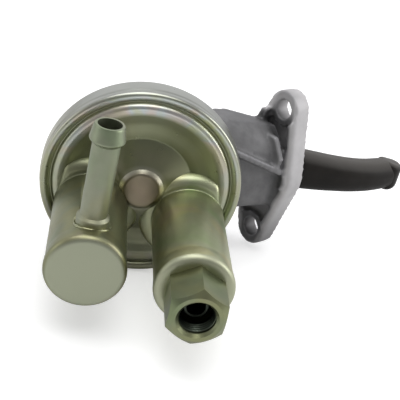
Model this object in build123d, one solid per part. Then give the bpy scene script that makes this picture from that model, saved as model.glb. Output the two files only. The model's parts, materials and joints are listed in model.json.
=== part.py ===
from build123d import *
from math import cos, radians, sin
import os

# Engine-driven mechanical fuel pump: a lever works a diaphragm under two drawn canisters.
# Row frame: the origin is the centre of the mounting flange's engine side, midway between its
# bolt holes. +X points into the engine, the way the lever reaches. +Z runs along the bolt line
# and the lever's pivot pin. Lengths are in millimetres.
# Stack frame: the diaphragm and all that lies on its axis. u points towards the flange, v is the
# row's Z and w points towards the canisters. w = 0 is the back of the cover's rolled edge.

# Where the stack stands against the flange
STACK_TILT = 36.0
FLANGE_REACH = 67.7
FLANGE_SETBACK = 29.0

# Mounting flange
FLANGE_T = 10.0
BOLT_SPACING = 64.0
BOLT_HOLE_R = 4.5
EAR_R = 9.0
WAIST_R = 11.6
WAIST_OFFSET = 5.0
FLANGE_EDGE_ROUND = 2.4
POCKET_DEPTH = 4.5
POCKET_RIM = 4.0
BOLT_BOSS_R = 8.0
BOLT_BOSS_H = 3.5

# Diaphragm joint between the casting and the cover, inside the cover's rolled rim
RIM_R = 44.0
JOINT_R = RIM_R - 1.4
CASTING_BACK_W = 1.3
CASTING_FACE_W = 6.4
DIAPHRAGM_T = 1.0
DIAPHRAGM_R = JOINT_R - 0.3
CURL_REACH = 1.6

# Casting: bell behind the diaphragm, neck to the flange, lever room
BELL_TOP_R = 18.0
BELL_MID_R = 21.0
BOWL_R = JOINT_R - 7.6
BELL_SHOULDER_R = BOWL_R + 2.0
BELL_END_W = -38.0
BELL_SHOULDER_W = -10.0
BOWL_FLOOR_R = 17.0
SPRING_SEAT_W = -8.5
LEVER_ROOM_W = -17.5
LEVER_ROOM_TOP_W = -33.5
LEVER_ROOM_U = -11.0
ROOM_STEP_U = 20.0
ROOM_STEP_END_U = 34.0
ROOM_STEP_H = 2.9
ROOM_BEHIND_HUB = 3.0
ROOM_HALF_WIDTH = 10.8
OPENING_LOW_Y = -12.2
OPENING_HIGH_Y = 11.5
NECK_FLANGE_HALF = 15.5
NECK_BELL_HALF = 18.5
NECK_ROUND = 6.0
GUSSET_T = 3.6
PIN_BOSS_R = 8.6
PIN_BOSS_Z = 17.6
VENT_R = 1.6

# Rocker lever, its pin and the link
PIVOT_ARM = 46.0
PIVOT_W = -22.0
PIN_R = 4.0
PIN_HALF = 15.6
PLUG_R = 5.2
PLUG_T = 1.8
RUNNING_GAP = 0.05
HUB_R = 8.0
HUB_HALF = 7.5
ARM_END_X = 57.5
ARM_END_Y = -23.2
NOSE_R = 6.1
NOSE_HALF = 6.0
CHEEK_T = 2.0
CHEEK_INNER = 8.0
PRONG_INNER = 3.1
PRONG_OUTER = 6.3
PRONG_NOSE_R = 2.6
PRONG_BAR_T = 3.0
LINK_GAP = 0.3
LINK_WEB_T = 2.2
LINK_WEB_W = -28.3
HEEL_REACH = 16.0

# Pull rod and its plates
ROD_R = 2.5
ROD_HEAD_R = 5.5
ROD_HEAD_T = 2.0
ROD_SHOULDER_R = 4.0
ROD_SHOULDER_H = 3.0
RIVET_R = 5.2
RIVET_H = 2.2
PLATE_T = 1.2
PLATE_R = BOWL_R - 8.0
PLATE_LIP_H = 1.8
HOLE_PLAY = 0.3

# Coil springs: mean radius, wire and number of turns
MAIN_SPRING_R = 12.5
MAIN_SPRING_WIRE = 2.0
MAIN_SPRING_TURNS = 3.5
RETURN_SPRING_R = 3.6
RETURN_SPRING_WIRE = 1.2
RETURN_SPRING_TURNS = 3.0
RETURN_SPRING_X = -5.2
RETURN_SPRING_SEAT_Y = -13.0
RETURN_SPRING_TOP_Y = -5.2
SPRING_POCKET_R = 4.6
VALVE_SPRING_R = 2.5
VALVE_SPRING_WIRE = 0.5
VALVE_SPRING_TURNS = 2.5
SPRING_GAP = 0.15
WIRE_SIDES = 6

# Oil seal round the rod
SEAL_R = 7.0
SEAL_W = -13.5
SEAL_T = 4.0
RETAINER_T = 1.0

# Stamped cover
SHEET = 1.2
RIM_STEP = 0.5
RIM_STEP_W = 8.5
BEAD_W = 12.1
GROOVE_OUTER_R = RIM_R - 3.3
GROOVE_INNER_R = GROOVE_OUTER_R - 1.8
RIDGE_R = GROOVE_INNER_R - 1.9
RIDGE_W = 13.0
PLATE_EDGE_R = RIDGE_R - 5.6
PLATE_W = 10.8
DOME_R = 0.477 * RIM_R
DOME_TOP_R = 7.6
DOME_TOP_W = 16.4

# Canisters
CANISTER_R = 0.3636 * RIM_R
CANISTER_WALL = 1.0
INLET_U = -0.4568 * RIM_R
OUTLET_U = 0.5227 * RIM_R
CANISTER_V = -0.2795 * RIM_R
COLLAR_R = CANISTER_R + 4.9
COLLAR_BEND = 4.2
COLLAR_STEP = 0.5
COLLAR_RISE = 0.3
FOOT_LIMIT_R = RIM_R - 1.6
FOOT_DEPTH = 1.5
LEDGE_W = 16.2
INLET_END_W = 66.6
OUTLET_END_W = 68.5
END_FLARE = 0.55
END_FLARE_H = 3.4
END_ROUND = 2.0

# Hose nipple, brazed into the inlet canister
NIPPLE_W = 52.8
NIPPLE_LENGTH = 41.7
NIPPLE_R = 5.45
NIPPLE_BORE_R = 4.7
NIPPLE_LIP_R = 5.9
NIPPLE_BEAD_R = 7.0
NIPPLE_BEAD_BACK = 6.2
NIPPLE_COLLAR_R = 6.6
NIPPLE_COLLAR_H = 2.0
NIPPLE_INSIDE = 2.0
BRAZE_GAP = 0.05

# Outlet fitting, turned from hexagon bar
HEX_FLATS = 22.2
HEX_LENGTH = 18.0
HEX_CHAMFER = 2.4
SPIGOT_R = 8.0
SPIGOT_INSIDE = 2.4
PORT_R = 7.2
PORT_RELIEF_R = 7.7
PORT_MOUTH_R = 8.3
PORT_CHAMFER = 1.2
PORT_DEPTH = 12.0
SEAT_R = 4.65
SEAT_RISE = 3.6
PORT_BORE_R = 3.8

# Disc valves, pressed down in the canister roots
VALVE_FLANGE_R = CANISTER_R - CANISTER_WALL - 1.5
VALVE_TUBE_R = VALVE_FLANGE_R - 2.5
VALVE_WALL = 1.2
VALVE_H = 7.4
VALVE_PORTS = 6
VALVE_PORT_R = 1.7
VALVE_PORT_CIRCLE = 5.0
VALVE_STEM_R = 1.5
VALVE_STEM_HEAD_R = 3.2
VALVE_STEM_HEAD_H = 1.0
VALVE_DISC_R = VALVE_TUBE_R - 3.0
VALVE_DISC_T = 1.0
VALVE_SPRING_SPACE = 2.9
VALVE_HOLE_R = VALVE_TUBE_R - 2.4
STEM_PLAY = 0.08

# Places worked out from the sizes above
tilt = radians(STACK_TILT)
U_DIR = Vector(cos(tilt), -sin(tilt), 0)
W_DIR = Vector(-sin(tilt), -cos(tilt), 0)
STACK_ORIGIN = Vector(0, 0, 0) - U_DIR * FLANGE_REACH + W_DIR * FLANGE_SETBACK
STACK = Plane(origin=STACK_ORIGIN, x_dir=U_DIR, z_dir=W_DIR).location
CASTING_PLATE_W = CASTING_FACE_W + DIAPHRAGM_T
ROD_HEAD_W = PIVOT_W - PRONG_NOSE_R - LINK_GAP


def stack_point(u, w):
    """The row-frame point of a place in the stack's mid-plane."""
    return STACK_ORIGIN + U_DIR * u + W_DIR * w


def stack_xy(u, w):
    """The same place as an (x, y) corner."""
    point = stack_point(u, w)
    return (point.X, point.Y)


PIVOT = stack_point(PIVOT_ARM, PIVOT_W)


def turned(corners, rounds=None):
    """A solid turned about Z from (radius, height) corners, some of them rounded."""
    face = make_face(Polyline(*corners, close=True))
    for index, radius in (rounds or {}).items():
        nearest = face.vertices().sort_by_distance(Vector(*corners[index], 0))[0]
        face = fillet(nearest, radius)
    return revolve(Plane.XZ * face, Axis.Z)


def sheet_turned(corners, radii, thickness):
    """A pressed sheet turned about Z from its middle line."""
    line = FilletPolyline(*corners, radius=radii)
    return revolve(Plane.XZ * trace(line, thickness), Axis.Z)


def flat_solid(corners, half_width):
    """A solid of the row's XY outline, reaching half_width each way along Z."""
    face = make_face(Polyline(*corners, close=True))
    return extrude(face, half_width, both=True)


def disc(radius, low, high, bore=0.0):
    """A round plate or ring about Z between two heights."""
    body = Pos(0, 0, (low + high) / 2) * Cylinder(radius, high - low)
    if bore > 0:
        body -= Pos(0, 0, (low + high) / 2) * Cylinder(bore, high - low)
    return body


def coil(radius, wire, turns, length):
    """An open coil spring that stands on Z = 0."""
    rise = length - wire
    path = Helix(pitch=rise / turns, height=rise, radius=radius)
    section = Plane(origin=path @ 0, z_dir=path % 0) * RegularPolygon(wire / 2, WIRE_SIDES)
    return Pos(0, 0, wire / 2) * sweep(section, path, is_frenet=True)


def flange_outline(inset):
    """The flange's diamond: two ears and a wide waist, drawn in by inset."""
    half = BOLT_SPACING / 2
    rings = []
    for side in (-1, 1):
        rings += (Pos(0, side * half) * Circle(EAR_R - inset)).edges()
        rings += (Pos(side * WAIST_OFFSET, 0) * Circle(WAIST_R - inset)).edges()
    return Plane.YZ * make_hull(rings)


def make_neck():
    """The neck's outside, lofted from the flange to the bell."""
    start = Plane(origin=(-FLANGE_T + 1, 2.0, 0), x_dir=(0, 1, 0), z_dir=(-1, 0, 0))
    end_mid = stack_point(16, -18.3)
    end = Plane(origin=end_mid, x_dir=-W_DIR, z_dir=-U_DIR)
    at_flange = start * RectangleRounded(27.0, 2 * NECK_FLANGE_HALF, NECK_ROUND)
    at_bell = end * RectangleRounded(38.0, 2 * NECK_BELL_HALF, NECK_ROUND)
    return loft([at_flange, at_bell], ruled=True)


def make_lever_room():
    """The space that the lever and link swing in, open at the flange."""
    clear = HUB_R + 0.7
    corners = [
        (1.0, OPENING_LOW_Y),
        (1.0, OPENING_HIGH_Y),
        stack_xy(PIVOT_ARM - 2, LEVER_ROOM_TOP_W),
        stack_xy(LEVER_ROOM_U, LEVER_ROOM_TOP_W),
        stack_xy(LEVER_ROOM_U, LEVER_ROOM_W),
        stack_xy(ROOM_STEP_U, LEVER_ROOM_W),
        stack_xy(ROOM_STEP_END_U, LEVER_ROOM_W + ROOM_STEP_H),
        (PIVOT.X - clear - ROOM_BEHIND_HUB, PIVOT.Y - clear * 0.7),
        (PIVOT.X - clear * 0.7, PIVOT.Y - clear),
        (PIVOT.X + clear * 0.2, PIVOT.Y - clear),
        (-3.0, OPENING_LOW_Y),
    ]
    return flat_solid(corners, ROOM_HALF_WIDTH)


def make_body_casting():
    """Flange, neck, bell and diaphragm flange: one aluminium casting."""
    plate = extrude(flange_outline(0), -FLANGE_T)
    back_edges = plate.faces().sort_by(Axis.X)[0].edges()
    plate = fillet(back_edges, FLANGE_EDGE_ROUND)
    pocket = Pos(-FLANGE_T, 0, 0) * extrude(flange_outline(POCKET_RIM), POCKET_DEPTH)
    for side in (-1, 1):
        ear = Pos(0, 0, side * BOLT_SPACING / 2) * Rot(0, 90, 0)
        pocket -= ear * disc(BOLT_BOSS_R, -FLANGE_T - 1, 0)
    neck = make_neck()
    bell = STACK * turned(
        [
            (0, CASTING_FACE_W),
            (JOINT_R, CASTING_FACE_W),
            (JOINT_R, CASTING_BACK_W),
            (BELL_SHOULDER_R + 1.5, CASTING_BACK_W),
            (BELL_SHOULDER_R - 1.0, BELL_SHOULDER_W / 2),
            (BELL_MID_R + 2, BELL_SHOULDER_W - 2),
            (BELL_TOP_R, BELL_END_W),
            (0, BELL_END_W),
        ],
        {3: 1.5, 4: 5.0, 5: 8.0, 6: 6.0},
    )
    gusset_outline = [
        (-FLANGE_T + 1, -WAIST_R - 3.0),
        (-FLANGE_T + 1, 0.0),
        stack_xy(16, -10),
        stack_xy(16, CASTING_BACK_W + 2),
        stack_xy(JOINT_R - 5, CASTING_BACK_W + 2),
        stack_xy(JOINT_R - 5, CASTING_BACK_W),
        stack_xy(JOINT_R - 2, CASTING_BACK_W - 2.2),
    ]
    body = plate - pocket
    body += neck
    body += bell
    body += flat_solid(gusset_outline, GUSSET_T / 2)
    for side in (-1, 1):
        ear = Pos(0, 0, side * BOLT_SPACING / 2) * Rot(0, 90, 0)
        body += ear * disc(BOLT_BOSS_R, -FLANGE_T - BOLT_BOSS_H, -FLANGE_T + POCKET_DEPTH)
    body += Pos(PIVOT.X, PIVOT.Y, 0) * disc(PIN_BOSS_R, -PIN_BOSS_Z, PIN_BOSS_Z)
    bowl = turned(
        [
            (0, CASTING_FACE_W),
            (BOWL_R, CASTING_FACE_W),
            (BOWL_R - 3, -2.0),
            (BOWL_FLOOR_R, -6.5),
            (BOWL_FLOOR_R, SPRING_SEAT_W),
            (SEAL_R, SPRING_SEAT_W),
            (SEAL_R, SEAL_W),
            (ROD_R + 0.8, SEAL_W),
            (ROD_R + 0.8, LEVER_ROOM_W - 1),
            (0, LEVER_ROOM_W - 1),
        ]
    )
    body -= STACK * bowl
    body -= make_lever_room()
    spring_pocket = Plane.XZ.location * disc(SPRING_POCKET_R, 0, -RETURN_SPRING_SEAT_Y)
    body -= Pos(RETURN_SPRING_X, 0, 0) * spring_pocket
    pin_bore = disc(PIN_R, -PIN_BOSS_Z, PIN_BOSS_Z)
    for side in (-1, 1):
        pin_bore += Pos(0, 0, side * PIN_BOSS_Z) * Cylinder(PLUG_R, 2 * PLUG_T)
    body -= Pos(PIVOT.X, PIVOT.Y, 0) * pin_bore
    for side in (-1, 1):
        ear = Pos(0, 0, side * BOLT_SPACING / 2) * Rot(0, 90, 0)
        body -= ear * disc(BOLT_HOLE_R, -FLANGE_T - 2 * BOLT_BOSS_H, 1)
    vent = STACK * Pos(-(BELL_SHOULDER_R - 8), 0, -4) * Cylinder(VENT_R, 20)
    body -= vent
    return body


def arm_section(x, y, angle, depth, width):
    """A rounded section of the lever, square to its middle line."""
    along = Vector(cos(radians(angle)), sin(radians(angle)), 0)
    place = Plane(origin=(x, y, 0), x_dir=(0, 0, 1), z_dir=along)
    return place * RectangleRounded(width, depth, 0.44 * min(width, depth))


def make_rocker_arm():
    """The forged lever: hub, curved outer arm with a cam nose, and a heel for the link."""
    # x, y, heading in degrees, depth and width of each section, from hub to nose
    stations = [
        (PIVOT.X, PIVOT.Y, -14, 13.0, 13.5),
        (-10.0, 4.3, -14, 12.0, 14.0),
        (3.0, 0.2, -24, 12.6, 14.6),
        (14.0, -6.4, -34, 13.2, 14.6),
        (25.0, -13.6, -31, 13.0, 14.0),
        (35.0, -18.6, -21, 12.6, 13.2),
        (46.0, -21.6, -10, 12.3, 12.6),
        (ARM_END_X, ARM_END_Y, -5, 2 * NOSE_R - 0.6, 2 * NOSE_HALF - 0.6),
    ]
    arm = loft([arm_section(*station) for station in stations])
    nose = disc(NOSE_R, -NOSE_HALF, NOSE_HALF)
    nose = fillet(nose.edges().filter_by(GeomType.CIRCLE), 2.2)
    arm += Pos(ARM_END_X, ARM_END_Y, 0) * nose
    hub_place = Pos(PIVOT.X, PIVOT.Y, 0)
    arm += hub_place * disc(HUB_R, -HUB_HALF, HUB_HALF)
    heel_top = LINK_WEB_W + LINK_WEB_T / 2 + LINK_GAP
    heel_outline = [
        stack_xy(PIVOT_ARM, heel_top),
        stack_xy(PIVOT_ARM - HEEL_REACH, heel_top),
        stack_xy(PIVOT_ARM - HEEL_REACH, PIVOT_W - 1),
        stack_xy(PIVOT_ARM - HUB_R + 1, PIVOT_W + 4),
        stack_xy(PIVOT_ARM, PIVOT_W + 6),
    ]
    heel = flat_solid(heel_outline, HUB_HALF - 1)
    arm += heel
    arm -= hub_place * disc(PIN_R + RUNNING_GAP, -HUB_HALF - 1, HUB_HALF + 1)
    return arm


def make_link():
    """The link: two cheeks on the pin, a web that the heel lifts, and a fork for the rod."""
    far = CHEEK_INNER + CHEEK_T
    hub = Pos(PIVOT_ARM, 0, PIVOT_W) * Rot(90, 0, 0)
    bar_end = 9.0
    cheek_top = LINK_WEB_W - LINK_WEB_T / 2
    web_end = PIVOT_ARM - HEEL_REACH - 2
    outline = [
        (bar_end, PIVOT_W + PRONG_BAR_T / 2),
        (PIVOT_ARM, PIVOT_W + HUB_R - 1),
        (PIVOT_ARM, PIVOT_W - HUB_R + 1),
        (web_end + 11, cheek_top),
        (web_end, cheek_top),
        (bar_end, PIVOT_W - PRONG_BAR_T / 2),
    ]
    side_view = make_face(Plane.XZ * Polyline(*outline, close=True))
    cheeks = extrude(side_view, far, both=True)
    cheeks += hub * disc(HUB_R - 1, -far, far)
    inside = Pos((bar_end + PIVOT_ARM + 20) / 2 + 1.5, 0, PIVOT_W)
    cheeks -= inside * Box(PIVOT_ARM + 20 - bar_end - 1, 2 * CHEEK_INNER, 60)
    web_mid = web_end + 5
    link = cheeks + Pos(web_mid, 0, LINK_WEB_W) * Box(10, 2 * far, LINK_WEB_T)
    link += Pos(bar_end + 1.5, 0, PIVOT_W) * Box(5, 2 * far, PRONG_BAR_T)
    prong_mid = (PRONG_INNER + PRONG_OUTER) / 2
    prong_w = PRONG_OUTER - PRONG_INNER
    for side in (-1, 1):
        link += Pos(bar_end / 2, side * prong_mid, PIVOT_W) * Box(bar_end, prong_w, PRONG_BAR_T)
        nose = Pos(0, side * prong_mid, PIVOT_W) * Rot(90, 0, 0)
        link += nose * Cylinder(PRONG_NOSE_R, prong_w)
    link -= hub * disc(PIN_R + RUNNING_GAP, -far - 1, far + 1)
    return STACK * link


def make_pull_rod():
    """The rod: a head in the link's fork, a shoulder and a riveted end at the plates."""
    plates_low = CASTING_FACE_W - PLATE_T
    plates_high = CASTING_PLATE_W + PLATE_T
    rod = turned(
        [
            (0, ROD_HEAD_W - ROD_HEAD_T),
            (ROD_HEAD_R, ROD_HEAD_W - ROD_HEAD_T),
            (ROD_HEAD_R, ROD_HEAD_W),
            (ROD_R, ROD_HEAD_W),
            (ROD_R, plates_low - ROD_SHOULDER_H),
            (ROD_SHOULDER_R, plates_low - ROD_SHOULDER_H),
            (ROD_SHOULDER_R, plates_low),
            (ROD_R, plates_low),
            (ROD_R, plates_high),
            (RIVET_R, plates_high),
            (RIVET_R, plates_high + RIVET_H),
            (0, plates_high + RIVET_H),
        ],
        {1: 0.6, 10: 1.4},
    )
    return STACK * rod


def make_diaphragm():
    """The rubbered cloth, clamped at its edge and between the plates."""
    return STACK * disc(DIAPHRAGM_R, CASTING_FACE_W, CASTING_PLATE_W, ROD_R + HOLE_PLAY)


def make_plate(face_w, away):
    """A pressed plate against one face of the diaphragm, with its lip turned away from it."""
    middle = face_w + away * PLATE_T / 2
    lip = middle + away * PLATE_LIP_H * 0.5
    line = [(ROD_R + 0.02, middle), (PLATE_R - 2, middle), (PLATE_R, lip)]
    return STACK * sheet_turned(line, 1.5, PLATE_T)


def make_fuel_plate():
    """The plain washer plate on the fuel side."""
    low = CASTING_PLATE_W
    ring = turned(
        [(ROD_R + 0.02, low), (PLATE_R, low), (PLATE_R, low + PLATE_T), (ROD_R + 0.02, low + PLATE_T)],
        {2: 0.7},
    )
    return STACK * ring


def make_main_spring():
    """The spring that drives the fuel out, from the seal's retainer to the spring plate."""
    low = SPRING_SEAT_W + RETAINER_T
    high = CASTING_FACE_W - PLATE_T
    spring = coil(MAIN_SPRING_R, MAIN_SPRING_WIRE, MAIN_SPRING_TURNS, high - low - 2 * SPRING_GAP)
    return STACK * Pos(0, 0, low + SPRING_GAP) * spring


def make_return_spring():
    """The spring that keeps the lever on its cam."""
    length = RETURN_SPRING_TOP_Y - RETURN_SPRING_SEAT_Y - SPRING_GAP
    spring = coil(RETURN_SPRING_R, RETURN_SPRING_WIRE, RETURN_SPRING_TURNS, length)
    place = Pos(RETURN_SPRING_X, RETURN_SPRING_SEAT_Y + SPRING_GAP, 0) * Rot(-90, 0, 0)
    return place * spring


def make_seal():
    """The oil seal round the rod, with a lip towards the lever room."""
    top = SEAL_W + SEAL_T
    seal = turned(
        [
            (ROD_R + 0.1, SEAL_W + 0.4),
            (ROD_R + 1.2, SEAL_W),
            (SEAL_R, SEAL_W),
            (SEAL_R, top),
            (ROD_R + 1.4, top),
            (ROD_R + 0.1, SEAL_W + 1.4),
        ]
    )
    return STACK * seal


def make_retainer():
    """The washer that holds the seal down and seats the main spring."""
    low = SPRING_SEAT_W
    ring = turned(
        [
            (ROD_R + 1.2, low),
            (BOWL_FLOOR_R - HOLE_PLAY, low),
            (BOWL_FLOOR_R - HOLE_PLAY, low + RETAINER_T),
            (ROD_R + 1.2, low + RETAINER_T),
        ]
    )
    return STACK * ring


def cover_line():
    """The middle line of the cover's sheet, from the rolled edge to the dome, and its bends."""
    half = SHEET / 2
    step_r = RIM_R - RIM_STEP - half
    corners = [
        (JOINT_R - CURL_REACH, CASTING_BACK_W - half),
        (RIM_R - half, CASTING_BACK_W - half),
        (RIM_R - half, RIM_STEP_W),
        (step_r, RIM_STEP_W + RIM_STEP),
        (step_r, BEAD_W - half),
        (GROOVE_OUTER_R + 0.4, BEAD_W - half),
        (GROOVE_OUTER_R, CASTING_PLATE_W + half),
        (GROOVE_INNER_R, CASTING_PLATE_W + half),
        (RIDGE_R, RIDGE_W - half),
        (PLATE_EDGE_R, PLATE_W - half),
        (DOME_R, PLATE_W - half),
        (DOME_TOP_R, DOME_TOP_W - half),
        (0, DOME_TOP_W - half),
    ]
    bends = [0, 0, 0, 0.9, 0.9, 0, 0, 1.6, 2.0, 2.0, 1.4]
    return corners, bends


def make_cover():
    """The stamped cover: rolled edge, bead, ring, middle dome and a hole for each valve."""
    corners, bends = cover_line()
    cover = sheet_turned(corners, bends, SHEET)
    for u in (INLET_U, OUTLET_U):
        cover -= Pos(u, CANISTER_V, 0) * disc(VALVE_HOLE_R, CASTING_PLATE_W, DOME_TOP_W)
    return STACK * cover


def canister_shell(u, end_w, end_bore):
    """A drawn cup at u: flared end, ledge for its valve, and a flared foot shaped to the cover."""
    inner = CANISTER_R - CANISTER_WALL
    foot_top = PLATE_W + COLLAR_STEP
    foot_low = PLATE_W - FOOT_DEPTH
    shell = turned(
        [
            (end_bore, end_w),
            (CANISTER_R + END_FLARE, end_w),
            (CANISTER_R + END_FLARE, end_w - END_FLARE_H * 0.6),
            (CANISTER_R, end_w - END_FLARE_H * 1.6),
            (CANISTER_R, foot_top + COLLAR_RISE),
            (COLLAR_R, foot_top),
            (COLLAR_R, foot_low),
            (VALVE_HOLE_R, foot_low),
            (VALVE_HOLE_R, LEDGE_W),
            (inner, LEDGE_W),
            (inner, end_w - CANISTER_WALL),
            (end_bore, end_w - CANISTER_WALL),
        ],
        {1: END_ROUND, 3: 3.0, 4: COLLAR_BEND, 10: 1.2},
    )
    shell = Pos(u, CANISTER_V, 0) * shell
    corners, bends = cover_line()
    under = turned([(0, CASTING_FACE_W), (GROOVE_INNER_R, CASTING_FACE_W)] + corners[7:])
    shell -= under
    shell -= sheet_turned(corners, bends, SHEET + 2 * BRAZE_GAP)
    shell &= disc(FOOT_LIMIT_R, CASTING_PLATE_W, end_w)
    return shell.solids().sort_by(SortBy.VOLUME)[-1]


def make_inlet_canister():
    """The inlet canister, closed at its end, with a hole in its side for the nipple."""
    shell = canister_shell(INLET_U, INLET_END_W, 0.0)
    hole = Pos(INLET_U, CANISTER_V + CANISTER_R, NIPPLE_W) * Rot(90, 0, 0)
    shell -= hole * Cylinder(NIPPLE_R + BRAZE_GAP, CANISTER_R)
    return STACK * shell


def make_outlet_canister():
    """The outlet canister, with a hole in its end for the fitting."""
    return STACK * canister_shell(OUTLET_U, OUTLET_END_W, SPIGOT_R + BRAZE_GAP)


def make_nipple():
    """The hose nipple: a tube with a hose bead, and a collar shaped to the canister's wall."""
    top = NIPPLE_LENGTH
    bead = top - NIPPLE_BEAD_BACK
    collar = NIPPLE_COLLAR_H
    tube = turned(
        [
            (NIPPLE_BORE_R, -NIPPLE_INSIDE),
            (NIPPLE_R, -NIPPLE_INSIDE),
            (NIPPLE_R, -1.9),
            (NIPPLE_COLLAR_R, -1.8),
            (NIPPLE_COLLAR_R, collar),
            (NIPPLE_R, collar + 1.2),
            (NIPPLE_R, bead - 1.6),
            (NIPPLE_BEAD_R, bead),
            (NIPPLE_LIP_R, top - 0.6),
            (NIPPLE_LIP_R - 0.3, top),
            (NIPPLE_BORE_R, top),
        ],
        {4: 0.8, 7: 1.2},
    )
    collar_ring = disc(NIPPLE_COLLAR_R + 1, -CANISTER_R, NIPPLE_COLLAR_H, NIPPLE_R)
    wall = Pos(0, 0, -CANISTER_R) * Rot(90, 0, 0) * Cylinder(CANISTER_R + 0.02, 4 * NIPPLE_R)
    tube -= collar_ring & wall
    stand = Pos(INLET_U, CANISTER_V + CANISTER_R, NIPPLE_W) * Rot(-90, 0, 0)
    return STACK * stand * tube


def make_fitting():
    """The outlet fitting: hexagon, spigot, threaded port and its flare seat."""
    low = OUTLET_END_W
    top = low + HEX_LENGTH
    hexagon = extrude(RegularPolygon(HEX_FLATS / 2, 6, major_radius=False), HEX_LENGTH)
    hexagon = Pos(0, 0, low) * Rot(0, 0, 30) * hexagon
    corner_r = HEX_FLATS / 2 * 1.155
    cone = turned(
        [
            (0, low - 1),
            (corner_r + 1, low - 1),
            (corner_r + 1, top - HEX_CHAMFER - 0.6),
            (corner_r + 1 - HEX_CHAMFER - 1.4, top),
            (0, top),
        ]
    )
    body = hexagon & cone
    body += disc(SPIGOT_R, low - SPIGOT_INSIDE, low + 1)
    floor = top - PORT_DEPTH
    port = turned(
        [
            (0, floor + SEAT_RISE),
            (SEAT_R, floor + SEAT_RISE),
            (PORT_RELIEF_R, floor),
            (PORT_RELIEF_R, floor + SEAT_RISE + 0.1),
            (PORT_R, floor + SEAT_RISE + 0.1),
            (PORT_R, top - PORT_CHAMFER),
            (PORT_MOUTH_R, top),
            (PORT_MOUTH_R, top + 1),
            (0, top + 1),
        ]
    )
    body -= port
    body -= disc(PORT_BORE_R, low - SPIGOT_INSIDE - 1, top)
    return STACK * Pos(OUTLET_U, CANISTER_V, 0) * body


def valve_parts(flange_low):
    """A disc valve about Z: its seat with ports and stem, the disc and the spring."""
    flange_at = flange_low
    seat = disc(VALVE_TUBE_R, 0, VALVE_H, VALVE_TUBE_R - VALVE_WALL)
    seat += disc(VALVE_TUBE_R, 0, VALVE_WALL)
    seat += disc(VALVE_FLANGE_R, flange_at, flange_at + VALVE_WALL, VALVE_TUBE_R - VALVE_WALL / 2)
    head_low = VALVE_WALL + VALVE_DISC_T + VALVE_SPRING_SPACE + SPRING_GAP
    seat += disc(VALVE_STEM_R, 0, head_low + VALVE_STEM_HEAD_H)
    seat += disc(VALVE_STEM_HEAD_R, head_low, head_low + VALVE_STEM_HEAD_H)
    ports = PolarLocations(VALVE_PORT_CIRCLE, VALVE_PORTS)
    for spot in ports:
        seat -= spot * Pos(0, 0, VALVE_WALL / 2) * Cylinder(VALVE_PORT_R, VALVE_WALL * 2)
    face = disc(VALVE_DISC_R, VALVE_WALL, VALVE_WALL + VALVE_DISC_T, VALVE_STEM_R + STEM_PLAY)
    spring_low = VALVE_WALL + VALVE_DISC_T + SPRING_GAP / 2
    spring = coil(VALVE_SPRING_R, VALVE_SPRING_WIRE, VALVE_SPRING_TURNS, VALVE_SPRING_SPACE)
    return seat, face, Pos(0, 0, spring_low) * spring


def make_valves():
    """Both valves: the outlet's opens towards its canister, the inlet's away from it."""
    outlet_place = STACK * Pos(OUTLET_U, CANISTER_V, LEDGE_W)
    inlet_place = STACK * Pos(INLET_U, CANISTER_V, LEDGE_W + VALVE_H) * Rot(180, 0, 0)
    solids = {}
    for side, place, flange_low in (
        ("outlet", outlet_place, 0.0),
        ("inlet", inlet_place, VALVE_H - VALVE_WALL),
    ):
        for name, piece in zip(("seat", "disc", "spring"), valve_parts(flange_low)):
            solids[f"{side}_valve_{name}"] = place * piece
    return solids


def make_pivot_plugs():
    """The two sheet plugs that close the pin's bore."""
    plugs = []
    for side in (-1, 1):
        middle = PIN_BOSS_Z - PLUG_T / 2
        plugs.append(Pos(PIVOT.X, PIVOT.Y, side * middle) * Cylinder(PLUG_R - 0.02, PLUG_T))
    return Compound(children=[plug.solid() for plug in plugs])


pieces = {
    "body_casting": make_body_casting(),
    "rocker_arm": make_rocker_arm(),
    "pivot_pin": Pos(PIVOT.X, PIVOT.Y, 0) * disc(PIN_R, -PIN_HALF, PIN_HALF),
    "pivot_plugs": make_pivot_plugs(),
    "return_spring": make_return_spring(),
    "link_lever": make_link(),
    "pull_rod": make_pull_rod(),
    "diaphragm": make_diaphragm(),
    "spring_plate": make_plate(CASTING_FACE_W, -1),
    "fuel_plate": make_fuel_plate(),
    "main_spring": make_main_spring(),
    "oil_seal": make_seal(),
    "seal_retainer": make_retainer(),
    "stamped_cover": make_cover(),
    "inlet_canister": make_inlet_canister(),
    "outlet_canister": make_outlet_canister(),
    "hose_nipple": make_nipple(),
    "outlet_fitting": make_fitting(),
}
pieces.update(make_valves())

os.makedirs("parts", exist_ok=True)
for name, piece in pieces.items():
    export_step(piece, f"parts/{name}.step")
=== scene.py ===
import json
from math import cos, pi, radians, sin, sqrt, tan

import bmesh
import bpy
from mathutils import Matrix, Vector


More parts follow.
